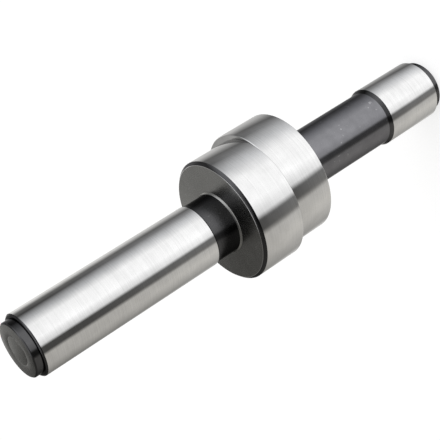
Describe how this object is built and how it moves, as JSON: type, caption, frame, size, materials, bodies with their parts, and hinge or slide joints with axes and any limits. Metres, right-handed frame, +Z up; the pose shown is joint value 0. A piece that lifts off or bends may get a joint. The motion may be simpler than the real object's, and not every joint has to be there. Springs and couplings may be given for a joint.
{
  "type": "edge finder",
  "caption": "Mechanical edge finder: ground straight shank and spring-held probe with a contact tip, joined at a lapped collar so that the probe can run off centre.",
  "frame": {"origin": "on the shank's axis, at the lower end of its ground length, where the collet's nose comes", "axes": "+Z up along the shank's axis, into the collet, with the probe hanging down; +X the way that the probe stands off the shank's axis"},
  "size_m": [0.0214, 0.02, 0.0836],
  "materials": {
    "ground_steel": "ground, black oxide on the neck, rod and collar faces",
    "black_oxide": "turned steel, black oxide, satin",
    "pin_steel": "ground dowel",
    "spring_wire": "drawn wire"
  },
  "bodies": {
    "shank": {"shank_body": "ground_steel", "shank_end_plug": "black_oxide", "shank_anchor_pin": "pin_steel"},
    "spring": {"tension_spring": "spring_wire"},
    "probe_plug": {"probe_end_plug": "black_oxide", "probe_anchor_pin": "pin_steel"},
    "probe": {"probe_body": "ground_steel"}
  },
  "joints": [
    {"name": "probe_shift_x", "type": "slide", "parent": "shank", "child": "spring", "axis": [1, 0, 0], "range_m": [-0.00304, 0.00016]},
    {"name": "probe_shift_y", "type": "slide", "parent": "spring", "child": "probe_plug", "axis": [0, 1, 0], "range_m": [-0.0016, 0.0016]},
    {"name": "probe_spin", "type": "hinge", "parent": "probe_plug", "child": "probe", "pos_m": [0.00144, 0, -0.0301], "axis": [0, 0, 1], "continuous": true}
  ]
}
